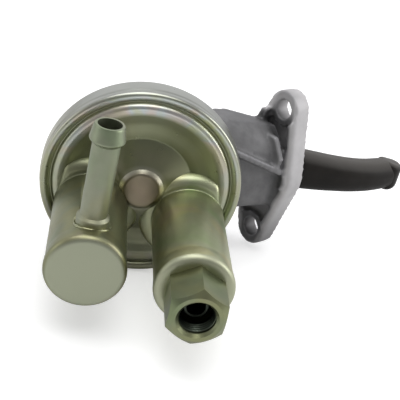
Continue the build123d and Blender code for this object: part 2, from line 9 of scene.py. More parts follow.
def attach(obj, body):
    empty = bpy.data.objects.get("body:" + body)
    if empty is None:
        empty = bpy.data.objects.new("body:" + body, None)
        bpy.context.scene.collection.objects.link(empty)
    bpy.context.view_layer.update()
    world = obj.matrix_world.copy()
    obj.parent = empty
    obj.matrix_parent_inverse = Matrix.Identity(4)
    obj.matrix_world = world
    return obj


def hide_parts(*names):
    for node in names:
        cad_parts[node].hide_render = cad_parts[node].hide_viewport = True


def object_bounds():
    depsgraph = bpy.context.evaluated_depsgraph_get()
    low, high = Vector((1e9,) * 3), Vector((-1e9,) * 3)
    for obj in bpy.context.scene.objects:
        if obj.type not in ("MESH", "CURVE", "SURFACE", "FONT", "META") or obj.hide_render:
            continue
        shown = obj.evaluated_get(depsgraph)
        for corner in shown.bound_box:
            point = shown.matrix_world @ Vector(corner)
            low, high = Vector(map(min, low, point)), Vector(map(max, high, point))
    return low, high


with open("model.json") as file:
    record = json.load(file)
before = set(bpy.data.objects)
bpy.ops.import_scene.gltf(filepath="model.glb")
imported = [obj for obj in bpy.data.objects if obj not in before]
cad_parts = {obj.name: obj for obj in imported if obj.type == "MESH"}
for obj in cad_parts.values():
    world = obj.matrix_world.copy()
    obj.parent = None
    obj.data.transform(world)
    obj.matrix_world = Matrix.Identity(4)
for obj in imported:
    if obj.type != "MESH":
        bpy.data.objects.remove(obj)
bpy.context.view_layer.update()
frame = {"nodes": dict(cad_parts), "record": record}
nodes = frame["nodes"]


# The canisters' frame: u and v across the cover, w out along the canisters, in millimetres
TILT = radians(36.0)
U_DIR = Vector((cos(TILT), -sin(TILT), 0.0))
W_DIR = Vector((-sin(TILT), -cos(TILT), 0.0))
V_DIR = Vector((0.0, 0.0, 1.0))
STACK_ORIGIN = Vector((-0.071816, 0.016332, 0.0))
MM = 0.001

# Sizes that materials and pieces share, in millimetres
CANISTER_R = 16.0
CANISTER_V = -12.3
INLET_U = -20.1
INLET_END_W = 66.6
OUTLET_U = 23.0
OUTLET_END_W = 68.5
NIPPLE_W = 52.8
NIPPLE_HOLE_R = 5.5
VALVE_HOLE_R = 8.6
SPIGOT_HOLE_R = 8.05
CANISTER_WALL = 1.0
COVER_SHEET = 1.2

# The middle of a turned piece: its smallest radius, and rings that keep its shading even
LEAST_R = 0.01
NEAR_AXIS = (3.0, 0.8, 0.2)


def stack(u, v, w):
    """A point of the canisters' frame, given in millimetres, in the row frame's metres."""
    return STACK_ORIGIN + (U_DIR * u + V_DIR * v + W_DIR * w) * MM


def round_axis(u, v, r, angle, w):
    """A point at a radius and an angle round the axis at u and v."""
    return stack(u + r * cos(angle), v + r * sin(angle), w)


def full_turn(steps):
    """Evenly spaced angles of one turn."""
    return [2 * pi * k / steps for k in range(steps)]


# Node trees: the values that most of a noise lies between
NOISE_LOW = 0.3
NOISE_HIGH = 0.7


class Tree:
    """A node tree, built with short calls."""

    def __init__(self, tree):
        self.tree = tree

    def feed(self, socket, value):
        """Links an output to a socket, or sets the socket's own value."""
        if hasattr(value, "links"):
            self.tree.links.new(value, socket)
        else:
            socket.default_value = (*value, 1.0) if socket.type == "RGBA" else value

    def node(self, kind, inputs=None, **settings):
        """A new node, with its settings and what its inputs hold."""
        node = self.tree.nodes.new("ShaderNode" + kind)
        for name, value in settings.items():
            setattr(node, name, value)
        for socket, value in (inputs or {}).items():
            self.feed(node.inputs[socket], value)
        return node

    def ramp(self, source, stops):
        """A colour ramp with a colour at each of its stops."""
        node = self.node("ValToRGB", {"Fac": source})
        elements = node.color_ramp.elements
        while len(elements) < len(stops):
            elements.new(0.5)
        for element, (place, colour) in zip(elements, stops):
            element.position = place
            element.color = (*colour, 1.0)
        return node.outputs["Color"]

    def span(self, source, low, high, start=0.0, end=1.0):
        """A value that goes from low to high while the source goes from start to end."""
        limits = {"From Min": start, "From Max": end, "To Min": low, "To Max": high}
        return self.node("MapRange", {"Value": source, **limits}).outputs["Result"]

    def spread(self, noise, low, high):
        """A noise spread over the values from low to high."""
        return self.span(noise, low, high, NOISE_LOW, NOISE_HIGH)

    def mix(self, factor, a, b):
        """Colour a where factor is 0 and colour b where it is 1."""
        return self.node("Mix", {0: factor, 6: a, 7: b}, data_type="RGBA").outputs[2]

    def scaled(self, colour, level):
        """A colour times a number."""
        return self.node("VectorMath", {0: colour, "Scale": level}, operation="SCALE").outputs[0]

    def math(self, operation, *values):
        """What an operation makes of one or two numbers."""
        return self.node("Math", dict(enumerate(values)), operation=operation).outputs[0]

    def times(self, a, b):
        return self.math("MULTIPLY", a, b)

    def vector(self, operation, *values):
        """What an operation makes of one or two vectors."""
        node = self.node("VectorMath", dict(enumerate(values)), operation=operation)
        return node.outputs["Value" if operation in ("DOT_PRODUCT", "LENGTH") else "Vector"]


class Look(Tree):
    """A material's node tree, with places in millimetres."""

    def __init__(self, name):
        self.material = bpy.data.materials.new(name)
        self.material.use_nodes = True
        super().__init__(self.material.node_tree)
        self.shader = self.tree.nodes["Principled BSDF"]
        self.coords = self.node("TexCoord").outputs["Object"]

    def set(self, **values):
        """Sets or links inputs of the shader, with _ for each space in a name."""
        for name, value in values.items():
            self.feed(self.shader.inputs[name.replace("_", " ")], value)

    def noise(self, scale, detail=4.0, roughness=0.6, distortion=0.0):
        values = {"Scale": scale, "Detail": detail, "Roughness": roughness, "Distortion": distortion}
        return self.node("TexNoise", {"Vector": self.coords, **values}).outputs["Fac"]

    def bump(self, source, strength, distance):
        inputs = {"Height": source, "Strength": strength, "Distance": distance}
        return self.node("Bump", inputs).outputs["Normal"]

    def blend_value(self, factor, a, b):
        """Value a where factor is 0 and the number b where it is 1."""
        return self.math("ADD", self.times(a, self.math("SUBTRACT", 1.0, factor)), self.times(factor, b))

    def row_place(self):
        """x, y and z in the row frame."""
        split = self.node("SeparateXYZ", {"Vector": self.coords})
        return [self.times(split.outputs[axis], 1 / MM) for axis in "XYZ"]

    def along(self, direction):
        """The distance from the canisters' origin along a direction."""
        away = self.vector("SUBTRACT", self.coords, STACK_ORIGIN)
        return self.times(self.vector("DOT_PRODUCT", away, direction), 1 / MM)

    def radius(self, point):
        """The distance from the axis through a point, along the canisters."""
        away = self.vector("SUBTRACT", self.coords, point)
        across = self.vector("CROSS_PRODUCT", away, W_DIR)
        return self.times(self.vector("LENGTH", across), 1 / MM)


# Materials: colours are linear, places are in millimetres and bump depths in metres
ZINC = (0.315, 0.335, 0.225)
NIPPLE_ZINC = (0.30, 0.315, 0.235)
WHITE = (1.0, 1.0, 1.0)
FINE_GRAIN = 0.00002


def tinted(colour, r, g, b):
    """A colour with each of its channels scaled."""
    return (colour[0] * r, colour[1] * g, colour[2] * b)


def grey_stops(stops):
    """Stops of a ramp that are grey, each given as a place and a level."""
    return [(place, (level, level, level)) for place, level in stops]


def zinc_colour(look, base):
    """Olive zinc with slow drifts to green, straw and a dusky pink, and small clouds."""
    drift = look.noise(30.0, detail=2.5, roughness=0.5, distortion=1.0)
    slow = look.ramp(
        drift,
        [
            (0.30, tinted(base, 0.82, 0.95, 0.80)),
            (0.46, base),
            (0.58, tinted(base, 1.10, 1.04, 0.92)),
            (0.72, tinted(base, 1.12, 0.94, 1.05)),
        ],
    )
    return look.scaled(slow, look.spread(look.noise(110.0), 0.94, 1.05))


def zinc(name, base=ZINC, smoothest=0.22, roughest=0.34, grain=FINE_GRAIN):
    """Zinc with a yellow passivation."""
    look = Look(name)
    look.set(
        Base_Color=zinc_colour(look, base),
        Metallic=1.0,
        Roughness=look.spread(look.noise(170.0), smoothest, roughest),
        Normal=look.bump(look.noise(1100.0), 0.3, grain),
    )
    return look.material


def canister_zinc(name):
    """The drawn cups: satin walls and a duller, paler flat end; the inlet's wall is painted darker as
    painted shade and the outlet's wall lighter as painted light, and their ends differ a little.
    """
    inlet_end, outlet_end = (0.385, 0.405, 0.300), (0.42, 0.435, 0.31)
    # Painted shade and painted light: the inlet's wall is darkened and the outlet's wall lightened
    shaded_inlet_wall, lit_outlet_wall = tinted(ZINC, 0.73, 0.73, 0.71), tinted(ZINC, 1.35, 1.33, 1.30)
    flat_w, between_u = (INLET_END_W - 0.9, INLET_END_W - 0.2), (-1.0, 1.0)
    flat_roughness = 0.48
    look = Look(name)
    flat = look.span(look.along(W_DIR), 0.0, 1.0, *flat_w)
    on_inlet = look.span(look.along(U_DIR), 1.0, 0.0, *between_u)
    wall = look.mix(on_inlet, zinc_colour(look, lit_outlet_wall), zinc_colour(look, shaded_inlet_wall))
    satin = look.spread(look.noise(420.0, detail=3.0), 0.36, 0.42)
    look.set(
        Base_Color=look.mix(flat, wall, look.mix(on_inlet, outlet_end, inlet_end)),
        Metallic=1.0,
        Roughness=look.blend_value(flat, satin, flat_roughness),
        Normal=look.bump(look.noise(900.0), 0.14, FINE_GRAIN),
    )
    return look.material


def cover_zinc(name):
    """The pressed cover: a paler rolled edge, silvery at the top and yellower below as a painted
    reflection; a pale rainbow tint on its bends, painted as a highlight that is strongest at the top; a
    brown middle with a painted highlight ring round the plateau and painted shade at the dome's foot; and
    painted shade towards the bottom.
    """
    middle_r, film_highlight_r, edge_r = (4.0, 26.0), (30.0, 45.0), (42.6, 43.6)
    shaded_z, lit_from_above_z = (-18.0, -6.0), (0.0, 36.0)
    least_film_highlight, shade, middle_share = 0.15, 0.52, 0.75
    # The rolled edge's colours below and at the top: a painted reflection
    lower_edge_reflection, upper_edge_reflection = (0.46, 0.45, 0.33), (0.37, 0.38, 0.35)
    look = Look(name)
    radius = look.radius(STACK_ORIGIN)
    height = look.row_place()[2]
    # Painted highlight: a pale rainbow tint, partly the passivation's own colours, much brighter than the
    # zinc, on the crests of the bead and the ridge
    film_highlight = look.ramp(
        look.noise(62.0, detail=2.0, roughness=0.45, distortion=0.8),
        [
            (0.34, (0.86, 0.79, 0.60)),
            (0.43, (0.92, 0.80, 0.78)),
            (0.52, (0.80, 0.86, 0.92)),
            (0.62, (0.84, 0.87, 0.66)),
        ],
    )
    film_highlight_levels = (
        (0.00, 0.0), (0.22, 0.05), (0.34, 0.80), (0.50, 0.60),
        (0.58, 0.10), (0.66, 0.15), (0.76, 0.75), (0.90, 0.0),
    )
    film_highlight_share = look.ramp(look.span(radius, 0.0, 1.0, *film_highlight_r), grey_stops(film_highlight_levels))
    # A brown stain in the middle, a painted highlight ring round the plateau's edge and painted shade at
    # the dome's foot
    middle = look.ramp(
        look.span(radius, 0.0, 1.0, *middle_r),
        [
            (0.0, (0.27, 0.205, 0.165)),
            (0.16, (0.27, 0.215, 0.165)),
            (0.24, (0.46, 0.44, 0.36)),
            (0.34, (0.25, 0.25, 0.165)),
            (0.82, (0.20, 0.215, 0.13)),
            (1.0, (0.34, 0.355, 0.24)),
        ],
    )
    # Painted highlight and painted reflection: the rainbow tint is strongest and the edge silvery at the
    # top, where the light falls
    lit_from_above = look.span(height, least_film_highlight, 1.0, *lit_from_above_z)
    edge = look.mix(lit_from_above, lower_edge_reflection, upper_edge_reflection)
    base = look.mix(middle_share, zinc_colour(look, ZINC), middle)
    # Painted shade: the cover darker towards the bottom
    base = look.scaled(base, look.span(height, shade, 1.0, *shaded_z))
    highlighted = look.mix(look.times(film_highlight_share, lit_from_above), base, film_highlight)
    look.set(
        Base_Color=look.mix(look.span(radius, 0.0, 1.0, *edge_r), highlighted, edge),
        Metallic=1.0,
        Roughness=look.spread(look.noise(150.0), 0.27, 0.35),
        Normal=look.bump(look.noise(700.0), 0.14, FINE_GRAIN),
    )
    return look.material


def fitting_zinc(name):
    """The hexagon fitting: turned faces, with painted shade in the port."""
    port_r, mouth_w = (7.0, 7.9), (84.0, 85.6)
    # Painted shade: the port's inside darkened
    port_shade = (0.075, 0.090, 0.070)
    look = Look(name)
    inside = look.span(look.radius(stack(OUTLET_U, CANISTER_V, 0.0)), 1.0, 0.0, *port_r)
    deep = look.span(look.along(W_DIR), 1.0, 0.0, *mouth_w)
    zinc_face = zinc_colour(look, tinted(ZINC, 0.74, 0.77, 0.70))
    look.set(
        Base_Color=look.mix(look.times(inside, deep), zinc_face, port_shade),
        Metallic=1.0,
        Roughness=look.spread(look.noise(260.0, detail=3.0, roughness=0.5), 0.31, 0.37),
        Normal=look.bump(look.noise(800.0, detail=2.0, roughness=0.5), 0.05, FINE_GRAIN),
    )
    return look.material


def cast_aluminium(name):
    """Cast aluminium, pebbled: pale on the flange's edge, with painted shade in its recesses, less dark on
    the neck, near pale on the top ear as painted light, darker towards the bottom, and with painted
    highlights on convex edges.
    """
    flange_half_y, flange_taper, edge_blend = 14.4, 0.245, 0.8
    back_x, far_back_x, neck_x = (-8.0, -2.0), (-12.4, -10.6), (-15.5, -12.5)
    lower_z, lit_top_ear_z = (-38.0, -10.0), (28.5, 34.0)
    highlight_pointiness, edge_highlight_colour, shade = (0.515, 0.57), (0.30, 0.295, 0.305), 0.34
    look = Look(name)
    pebble = look.noise(520.0, detail=5.0, roughness=0.62)
    stain = look.noise(95.0)
    x, y, z = look.row_place()
    edge_y = look.math("SUBTRACT", flange_half_y, look.times(look.math("ABSOLUTE", z), flange_taper))
    depth_in = look.math("SUBTRACT", edge_y, look.math("ABSOLUTE", y))
    within = look.span(depth_in, 0.0, 1.0, -edge_blend, edge_blend)
    back = look.span(x, 1.0, 0.0, *back_x)
    far_back = look.span(x, 1.0, 0.0, *far_back_x)
    # Painted shade in the recesses behind the flange and at the far back
    shaded_recess = look.math("MAXIMUM", look.times(within, back), far_back)
    # Painted highlight: convex edges lighter
    edge_highlight = look.span(look.node("NewGeometry").outputs["Pointiness"], 0.0, 0.8, *highlight_pointiness)
    neck = look.span(x, 1.0, 0.0, *neck_x)
    lit_top_ear = look.span(z, 0.0, 0.75, *lit_top_ear_z)
    pale = look.ramp(stain, [(0.30, (0.43, 0.42, 0.425)), (0.70, (0.53, 0.52, 0.525))])
    # Painted shade: darker towards the bottom
    pale = look.scaled(pale, look.span(z, shade, 1.0, *lower_z))
    # Painted shade in the recesses: very dark, less dark on the neck, and near pale on the top ear as
    # painted light
    dark = look.ramp(stain, [(0.30, (0.045, 0.045, 0.045)), (0.70, (0.090, 0.089, 0.092))])
    neck_shade = look.ramp(stain, [(0.30, (0.095, 0.094, 0.096)), (0.70, (0.185, 0.184, 0.188))])
    recess_shading = look.mix(lit_top_ear, look.mix(neck, dark, neck_shade), pale)
    look.set(
        Base_Color=look.mix(shaded_recess, pale, look.mix(edge_highlight, recess_shading, edge_highlight_colour)),
        Metallic=0.2,
        Roughness=look.spread(stain, 0.46, 0.6),
        Normal=look.bump(pebble, 0.55, 0.00014),
    )
    return look.material


def dark_steel(name):
    """Forged steel with a dark oiled skin, painted lighter on what faces up as painted light from above."""
    top_light, top_light_facing = (0.085, 0.080, 0.074), (0.45, 0.98)
    look = Look(name)
    scale = look.noise(380.0)
    patches = look.noise(45.0, detail=3.0, roughness=0.55)
    skin = look.ramp(patches, [(0.35, (0.012, 0.011, 0.010)), (0.65, (0.020, 0.018, 0.016))])
    # Painted light from above: faces that point up are lighter
    facing_up = look.vector("DOT_PRODUCT", look.node("NewGeometry").outputs["Normal"], V_DIR)
    top_light_share = look.span(facing_up, 0.0, 1.0, *top_light_facing)
    look.set(
        Base_Color=look.mix(top_light_share, skin, top_light),
        Specular_IOR_Level=0.12,
        Roughness=look.spread(scale, 0.42, 0.52),
        Normal=look.bump(scale, 0.3, 0.00005),
    )
    return look.material


def plain_metal(name, colour, smoothest):
    """Satin steel, brass or spring wire."""
    look = Look(name)
    grain = look.noise(500.0, detail=3.0)
    dim = tinted(colour, 0.75, 0.75, 0.75)
    look.set(
        Base_Color=look.ramp(grain, [(NOISE_LOW, dim), (NOISE_HIGH, colour)]),
        Metallic=1.0,
        Roughness=look.spread(grain, smoothest, smoothest + 0.12),
        Normal=look.bump(grain, 0.2, FINE_GRAIN),
    )
    return look.material


def rubber(name, colour):
    """Dull black rubber with a fine grain."""
    look = Look(name)
    grain = look.noise(1200.0, detail=3.0)
    lighter = tinted(colour, 1.6, 1.6, 1.6)
    look.set(
        Base_Color=look.ramp(grain, [(NOISE_LOW, colour), (NOISE_HIGH, lighter)]),
        Roughness=look.spread(grain, 0.6, 0.8),
        Normal=look.bump(grain, 0.3, 0.00004),
    )
    return look.material


finishes = {
    "cast_aluminium": cast_aluminium("cast_aluminium_look"),
    "dark_steel": dark_steel("dark_steel_look"),
    "plain_steel": plain_metal("plain_steel_look", (0.42, 0.42, 0.41), 0.3),
    "spring_steel": plain_metal("spring_steel_look", (0.3, 0.3, 0.31), 0.35),
    "yellow_zinc": zinc("yellow_zinc_look"),
    "rubbered_cloth": rubber("rubbered_cloth_look", (0.03, 0.03, 0.03)),
    "seal_rubber": rubber("seal_rubber_look", (0.02, 0.02, 0.02)),
    "valve_brass": plain_metal("valve_brass_look", (0.7, 0.52, 0.24), 0.3),
}
canister_look = canister_zinc("canister_zinc_look")
cover_look = cover_zinc("cover_zinc_look")
own_looks = {
    "inlet_canister": canister_look,
    "outlet_canister": canister_look,
    "stamped_cover": cover_look,
    "outlet_fitting": fitting_zinc("fitting_zinc_look"),
    "hose_nipple": zinc("nipple_zinc_look", NIPPLE_ZINC, 0.40, 0.50, grain=0.00004),
    "pivot_plugs": finishes["cast_aluminium"],
}
for part in frame["record"]["subparts"]:
    materials = nodes[part["node"]].data.materials
    materials.clear()
    materials.append(own_looks.get(part["node"], finishes[part["material_slot"]]))


# Meshes and objects
CUTTER_SIDES = 64
BEND_STEPS = 8


def new_object(name, data):
    """An object in the scene."""
    made = bpy.data.objects.new(name, data)
    bpy.context.scene.collection.objects.link(made)
    return made


def add_piece(name, data, slot_name, look=None, body="root", stands_for=None):
    """A piece that only the visual model has, in place of a node where one is named."""
    data.name = name
    data.materials.clear()
    data.materials.append(look or finishes[slot_name])
    piece = new_object(name, data)
    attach(piece, body)
    if stands_for:
        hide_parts(stands_for)


def applied(piece):
    """The mesh that an object's modifiers give. The object itself is removed."""
    ready = piece.evaluated_get(bpy.context.evaluated_depsgraph_get())
    data = bpy.data.meshes.new_from_object(ready)
    bpy.data.objects.remove(piece)
    return data


def as_mesh(form, name):
    """The mesh of a bmesh, which is freed."""
    data = bpy.data.meshes.new(name)
    form.to_mesh(data)
    form.free()
    return data


def grid_mesh(name, rows, closed_rows=True, closed_columns=True):
    """A mesh of a grid of points, closed round its rows or columns where asked."""
    count, width = len(rows), len(rows[0])
    faces = []
    for i in range(count if closed_rows else count - 1):
        for j in range(width if closed_columns else width - 1):
            a = i * width + j
            b = i * width + (j + 1) % width
            c = (i + 1) % count * width + (j + 1) % width
            d = (i + 1) % count * width + j
            faces.append((a, b, c, d))
    data = bpy.data.meshes.new(name)
    data.from_pydata([tuple(v) for row in rows for v in row], [], faces)
    data.validate()
    data.shade_smooth()
    return data


def prism_mesh(corners, half_width):
    """A mesh of an XY outline that reaches half_width each way along Z."""
    count = len(corners)
    points = [(x, y, z) for z in (-half_width, half_width) for x, y in corners]
    faces = [tuple(range(count))[::-1], tuple(range(count, 2 * count))]
    faces += [(i, (i + 1) % count, (i + 1) % count + count, i + count) for i in range(count)]
    data = bpy.data.meshes.new("prism")
    data.from_pydata(points, [], faces)
    data.validate()
    return data


def hull_mesh(points):
    """The convex hull of some points."""
    form = bmesh.new()
    for point in points:
        form.verts.new(point)
    bmesh.ops.convex_hull(form, input=form.verts)
    return as_mesh(form, "hull")


def round_cutter(centre, direction, radius, length, far_radius=None):
    """A closed round bar or cone for cutting holes, its lengths in millimetres."""
    form = bmesh.new()
    turn = direction.to_track_quat("Z", "Y").to_matrix().to_4x4()
    bmesh.ops.create_cone(
        form,
        cap_ends=True,
        segments=CUTTER_SIDES,
        radius1=radius * MM,
        radius2=(far_radius or radius) * MM,
        depth=length * MM,
        matrix=Matrix.Translation(centre) @ turn,
    )
    return as_mesh(form, "cutter")


def pierced(data, cutters):
    """A mesh with some others cut out of it."""
    work = new_object("work", data)
    bars = [new_object("bar", cutter) for cutter in cutters]
    for bar in bars:
        cut = work.modifiers.new("cut", "BOOLEAN")
        cut.operation = "DIFFERENCE"
        cut.solver = "EXACT"
        cut.object = bar
    result = applied(work)
    for bar in bars:
        bpy.data.objects.remove(bar)
    result.shade_smooth()
    return result


def rounded_path(corners, bends):
    """A polyline with each inner corner rounded to its bend radius."""
    most_of_side, least_bend = 0.48, 0.05
    points = [Vector(corners[0])]
    for i in range(1, len(corners) - 1):
        before, corner, after = (Vector(corners[k]) for k in (i - 1, i, i + 1))
        into, out = (before - corner).normalized(), (after - corner).normalized()
        half = into.angle(out) / 2
        room = min((before - corner).length * most_of_side, (after - corner).length * most_of_side)
        reach = min(bends[i - 1] / tan(half), room)
        radius = reach * tan(half)
        if radius < least_bend:
            points.append(corner)
            continue
        centre = corner + (into + out).normalized() * (radius / sin(half))
        first, last = corner + into * reach - centre, corner + out * reach - centre
        sweep = first.angle(last)
        for k in range(BEND_STEPS + 1):
            t = k / BEND_STEPS
            way = (first * sin((1 - t) * sweep) + last * sin(t * sweep)) / sin(sweep)
            points.append(centre + way)
    points.append(Vector(corners[-1]))
    return points


# Casting: the CAD form with soft cast edges, ribs and a deck over its neck, in metres
FLANGE_BACK_X = -0.010
BOSS_TOP_X = -0.0080
BOSS_END_X = -0.0140
BOSS_R = 0.0084
BOLT_Z = 0.032
LEVER_ROOM_HALF = 0.0108
CAST_VOXEL = 0.0008
CAST_SMOOTHING = 5
CAST_FACES_KEPT = 0.9


def box_points(xs, ys, zs):
    """The corners of a box between limits along X, Y and Z."""
    return [Vector((x, y, z)) for x in xs for y in ys for z in zs]


def waist_fill():
    """A small block that rounds the waist beside the flange."""
    return box_points((-0.0114, -0.0080), (-0.0139, -0.0100), (-0.0034, 0.0040))


def casting_lumps():
    """Points of the convex lumps that are fused with the casting and leave its hollows open."""
    # u, v and w in millimetres
    deck_bell_end = ((33.0, 27.0, -26.0), (33.0, 27.0, -12.0), (33.0, 13.0, -35.0), (33.0, 15.0, -4.5))
    rim_deck = (
        (29.0, 27.0, -24.0), (29.0, 27.0, 1.5), (36.0, 20.0, 1.5), (22.0, 18.0, -28.0),
        (34.0, 12.0, -10.0), (20.0, 12.0, 1.5), (34.0, 27.0, -25.0), (34.0, 14.0, -4.0),
    )
    web = ((41.0, 16.6, -1.0), (64.6, 6.4, -9.9), (67.0, 4.2, -14.5), (34.0, 16.6, -6.0))
    web_half = 1.5
    # y and z in metres, at one or two places along X
    deck_flange_end = ((0.001, 0.0235), (0.0105, 0.0225), (-0.0105, 0.013), (0.0125, 0.010))
    deck_x, rib_x, lug_x = FLANGE_BACK_X + 0.001, (-0.0162, -0.0132), (-0.0125, -0.0092)
    rib = ((-0.0118, 0.008), (-0.0130, 0.013), (-0.0065, 0.0215), (0.0, 0.0215), (0.0, 0.008))
    lug = ((0.0125, 0.019), (0.0098, 0.029), (0.0060, 0.030), (0.0080, 0.019))
    return [
        [stack(*p) for p in deck_bell_end] + [Vector((deck_x, y, z)) for y, z in deck_flange_end],
        [stack(*p) for p in rim_deck],
        [stack(u, v + side * web_half, w) for u, v, w in web for side in (1, -1)],
        [Vector((x, y, z)) for y, z in rib for x in rib_x],
        [Vector((x, y, z)) for y, z in lug for x in lug_x],
        waist_fill(),
    ]


def slit_fills():
    """Two blocks that close the slits between the lever's room and the neck's end."""
    return [
        box_points((-0.0106, -0.0078), (0.0140, 0.0157), (side * 0.0060, side * 0.0118))
        for side in (-1, 1)
    ]


def hollow_cutters():
    """The casting's hollows: the bowl that the plates move in and the lever's room."""
    bowl_w, foot_w = 2.3, -4.2
    bowl = round_cutter(stack(0, 0, bowl_w), W_DIR, radius=32.1, length=8.6, far_radius=35.1)
    foot = round_cutter(stack(0, 0, foot_w), W_DIR, radius=17.1, length=4.7, far_radius=32.2)
    flange_side = [(0.0010, -0.0122), (0.0010, 0.0115)]
    bell_side = ((44.0, -33.5), (-11.0, -33.5), (-11.0, -17.5), (20.0, -17.5), (34.0, -14.6))
    return_side = [(-0.0334, 0.0010), (-0.0278, -0.0016), (-0.0199, -0.0016), (-0.0030, -0.0122)]
    outline = flange_side + [tuple(stack(u, 0, w).to_2d()) for u, w in bell_side] + return_side
    return [bowl, foot, prism_mesh(outline, LEVER_ROOM_HALF)]


def lower_bosses(form):
    """Brings the bolt bosses in below the flange's rim."""
    for vert in form.verts:
        x, y, z = vert.co
        if BOSS_END_X < x < BOSS_TOP_X and y * y + (abs(z) - BOLT_Z) ** 2 < BOSS_R**2:
            vert.co.x = BOSS_TOP_X


def drop_gusset(form):
    """Folds the straight gusset back onto the neck's side; the slanted web stands for it."""
    bell_end, flange_end = stack(16.0, 0.0, 0.7), Vector((-0.009, -0.0115, 0.0))
    gusset_half, bell_u, flange_x = 0.0030, 0.0375, FLANGE_BACK_X - 0.0001
    least_proud = 0.00005
    out = (flange_end - bell_end).cross(V_DIR).normalized()
    for vert in form.verts:
        proud = (vert.co - flange_end).dot(out)
        on_neck = bell_u < (vert.co - STACK_ORIGIN).dot(U_DIR) and vert.co.x < flange_x
        if abs(vert.co.z) <= gusset_half and on_neck and proud > least_proud:
            vert.co -= out * proud


def remeshed(data, smooth_steps=0, share=1.0):
    """A voxel remesh of a mesh, smoothed and thinned to a share of its faces."""
    piece = new_object("work", data)
    remesh = piece.modifiers.new("remesh", "REMESH")
    remesh.mode = "VOXEL"
    remesh.voxel_size = CAST_VOXEL
    if smooth_steps:
        smooth = piece.modifiers.new("smooth", "SMOOTH")
        smooth.factor = 0.5
        smooth.iterations = smooth_steps
    if share < 1.0:
        thin = piece.modifiers.new("thin", "DECIMATE")
        thin.ratio = share
    return applied(piece)


def add_casting():
    """The casting: its solid without bosses and gusset, then the lumps, fused and softened."""
    form = bmesh.new()
    form.from_mesh(remeshed(nodes["body_casting"].data.copy()))
    lower_bosses(form)
    drop_gusset(form)
    hollows = hollow_cutters()
    for points in casting_lumps():
        form.from_mesh(pierced(hull_mesh(points), hollows))
    for points in slit_fills():
        form.from_mesh(hull_mesh(points))
    data = remeshed(as_mesh(form, "casting_parts"), CAST_SMOOTHING, CAST_FACES_KEPT)
    data.shade_smooth()
    add_piece("casting_skin", data, "cast_aluminium", stands_for="body_casting")


# Lever: its middle line in X and Y and how much fuller it gets, in metres and shares
LEVER_LINE = (
    (-0.0100, 0.0043), (0.0030, 0.0002), (0.0140, -0.0064), (0.0250, -0.0136),
    (0.0350, -0.0186), (0.0460, -0.0216), (0.0575, -0.0232),
)
FULLER_Y = 0.20
FULLER_Z = 0.24
FULLER_ROOT_Z = 0.14
FULLER_FROM_X = 0.002
FULLER_TO_X = 0.0600
ROOT_X = 0.004
ROOT_REACH = 0.020


def lever_middle(x):
    """The y of the lever's middle line at x."""
    for (x0, y0), (x1, y1) in zip(LEVER_LINE, LEVER_LINE[1:]):
        if x <= x1:
            break
    return y0 + (y1 - y0) * min(1.0, (x - x0) / (x1 - x0))


def add_lever():
    """The lever as its solid has it, a little fuller beyond the flange."""
    rise, fall = 0.005, 0.006
    data = nodes["rocker_arm"].data.copy()
    for vert in data.vertices:
        x, y, z = vert.co
        if x < FULLER_FROM_X:
            continue
        share = min(1.0, (x - FULLER_FROM_X) / rise) * min(1.0, max(0.0, (FULLER_TO_X - x) / fall))
        root = FULLER_ROOT_Z * max(0.0, 1 - (x - ROOT_X) / ROOT_REACH)
        middle = lever_middle(x)
        vert.co.y = middle + (y - middle) * (1 + FULLER_Y * share)
        vert.co.z = z * (1 + (FULLER_Z + root) * share)
    data.shade_smooth()
    add_piece("lever_skin", data, "dark_steel", body="rocker", stands_for="rocker_arm")


# Cover: the middle of its sheet as radius and w from the rolled edge in, with a bend at each corner
COVER_TOP_W = 16.0
COVER_LINE = (
    (41.0, 0.7), (43.4, 0.7), (43.4, 8.2), (43.1, 9.2), (43.1, 12.0), (40.9, 12.0), (39.3, 9.5),
    (37.2, 12.6), (33.8, 12.2), (29.5, 10.7), (22.0, 9.9), (9.3, 14.4), (7.5, COVER_TOP_W),
    (0.0, COVER_TOP_W),
)
COVER_BENDS = (0.6, 0.8, 0.8, 1.5, 1.6, 1.8, 2.2, 6.0, 12.0, 3.0, 1.0, 1.3)
COVER_STEPS = 240


def add_cover():
    """The pressed cover again, with the soft bends that a press gives."""
    hole_w, hole_length = 12.0, 16.0
    path = rounded_path(COVER_LINE, COVER_BENDS)
    path[-1:-1] = [Vector((r, COVER_TOP_W)) for r in NEAR_AXIS]
    outer, inner = [], []
    for i, point in enumerate(path):
        before, after = path[max(0, i - 1)], path[min(len(path) - 1, i + 1)]
        along = (after - before).normalized()
        side = Vector((along.y, -along.x)) * (COVER_SHEET / 2)
        outer.append(point + side)
        inner.append(point - side)
    ring = outer + inner[::-1]
    rows = [
        [round_axis(0.0, 0.0, max(p.x, LEAST_R), angle, p.y) for p in ring]
        for angle in full_turn(COVER_STEPS)
    ]
    holes = [
        round_cutter(stack(u, CANISTER_V, hole_w), W_DIR, VALVE_HOLE_R, hole_length)
        for u in (INLET_U, OUTLET_U)
    ]
    data = pierced(grid_mesh("cover_skin", rows), holes)
    add_piece("cover_skin", data, "yellow_zinc", cover_look, stands_for="stamped_cover")


# Canisters: the collar at their foot and the soft bend of their end, in millimetres
COLLAR_R = 22.0
COLLAR_BEND = 4.9
COLLAR_TOP_W = 15.2
COLLAR_REACH_R = 35.5
NO_COLLAR_REACH = CANISTER_R - 1.0
FULL_COLLAR_REACH = COLLAR_R + 3.0
FOOT_W = 9.4
END_FLARE = 0.5
END_BEND = 2.8
FLARE_BEND = 9.0
INSIDE_BEND = 1.2
CUP_STEPS = 160


